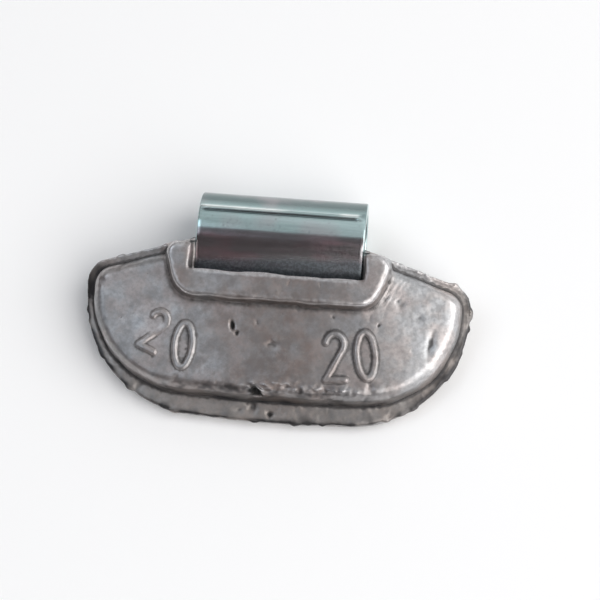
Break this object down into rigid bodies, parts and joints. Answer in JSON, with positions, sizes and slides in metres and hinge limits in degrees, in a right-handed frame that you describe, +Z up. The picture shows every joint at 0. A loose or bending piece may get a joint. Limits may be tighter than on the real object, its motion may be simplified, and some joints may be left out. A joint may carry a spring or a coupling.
{
  "type": "wheel balance weight",
  "caption": "Clip-on wheel balance weight: a boat-shaped lead casting whose raised collar holds a sprung steel clip, hooked to grip the edge of a wheel rim.",
  "frame": {"origin": "on the bench that the weight lies on, under the middle of the box round it", "axes": "+X along the weight and the hook, +Y up its face towards the clip, +Z up from the bench; the weight lies on its back, so its face is tilted by about 11 degrees"},
  "size_m": [0.0346, 0.0202, 0.0081],
  "materials": {
    "cast_lead": "as-cast lead, dull grey with brighter rubbed edges, pits and flash",
    "plated_steel": "bright zinc plate with a blue-green tint and fine scratches along the strip"
  },
  "bodies": {
    "root": {"cast_body": "cast_lead", "spring_clip": "plated_steel"}
  },
  "joints": []
}
